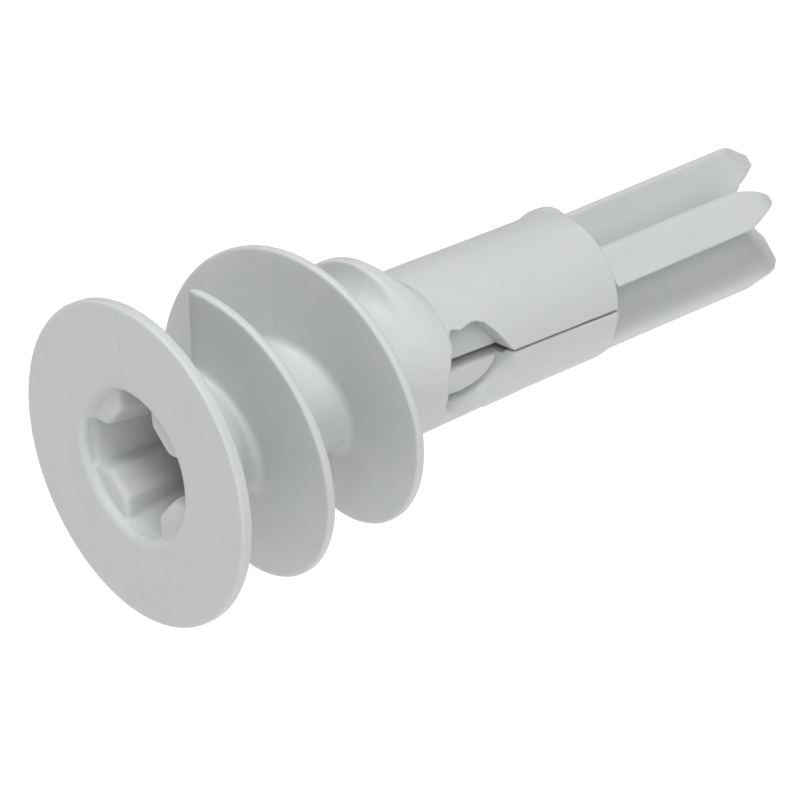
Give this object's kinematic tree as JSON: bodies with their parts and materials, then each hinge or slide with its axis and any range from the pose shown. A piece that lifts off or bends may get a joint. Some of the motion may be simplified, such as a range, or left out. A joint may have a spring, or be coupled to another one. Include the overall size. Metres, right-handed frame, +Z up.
{
  "type": "wall anchor",
  "caption": "Self-drilling nylon wall anchor with a flange, cross drive socket, coarse thread, split sleeve and a bladed drill tip that swings aside on a living hinge.",
  "frame": {"origin": "on the axis, in the flange's back face, which rests on the wall", "axes": "+Y along the axis into the wall, towards the drill tip; +Z up, where the thread starts; X along the slit of the sleeve"},
  "size_m": [0.014, 0.0396, 0.014],
  "materials": {
    "nylon": "matte"
  },
  "bodies": {
    "body": {"anchor_body": "nylon"},
    "jaw": {"guide_jaw": "nylon", "jaw_hinge_web": "nylon"},
    "tip": {"drill_tip": "nylon", "tip_hinge_web": "nylon"}
  },
  "joints": [
    {"name": "tip_swing", "type": "hinge", "parent": "body", "child": "tip", "pos_m": [0, 0.01475, -0.0034], "axis": [-1, 0, 0], "range_deg": [0, 45], "stiffness_Nm_per_rad": 0.01, "deforming": ["tip_hinge_web"]},
    {"name": "jaw_flex", "type": "hinge", "parent": "body", "child": "jaw", "pos_m": [0, 0.01475, 0.0034], "axis": [1, 0, 0], "range_deg": [0, 6], "stiffness_Nm_per_rad": 0.02, "deforming": ["jaw_hinge_web"]}
  ]
}
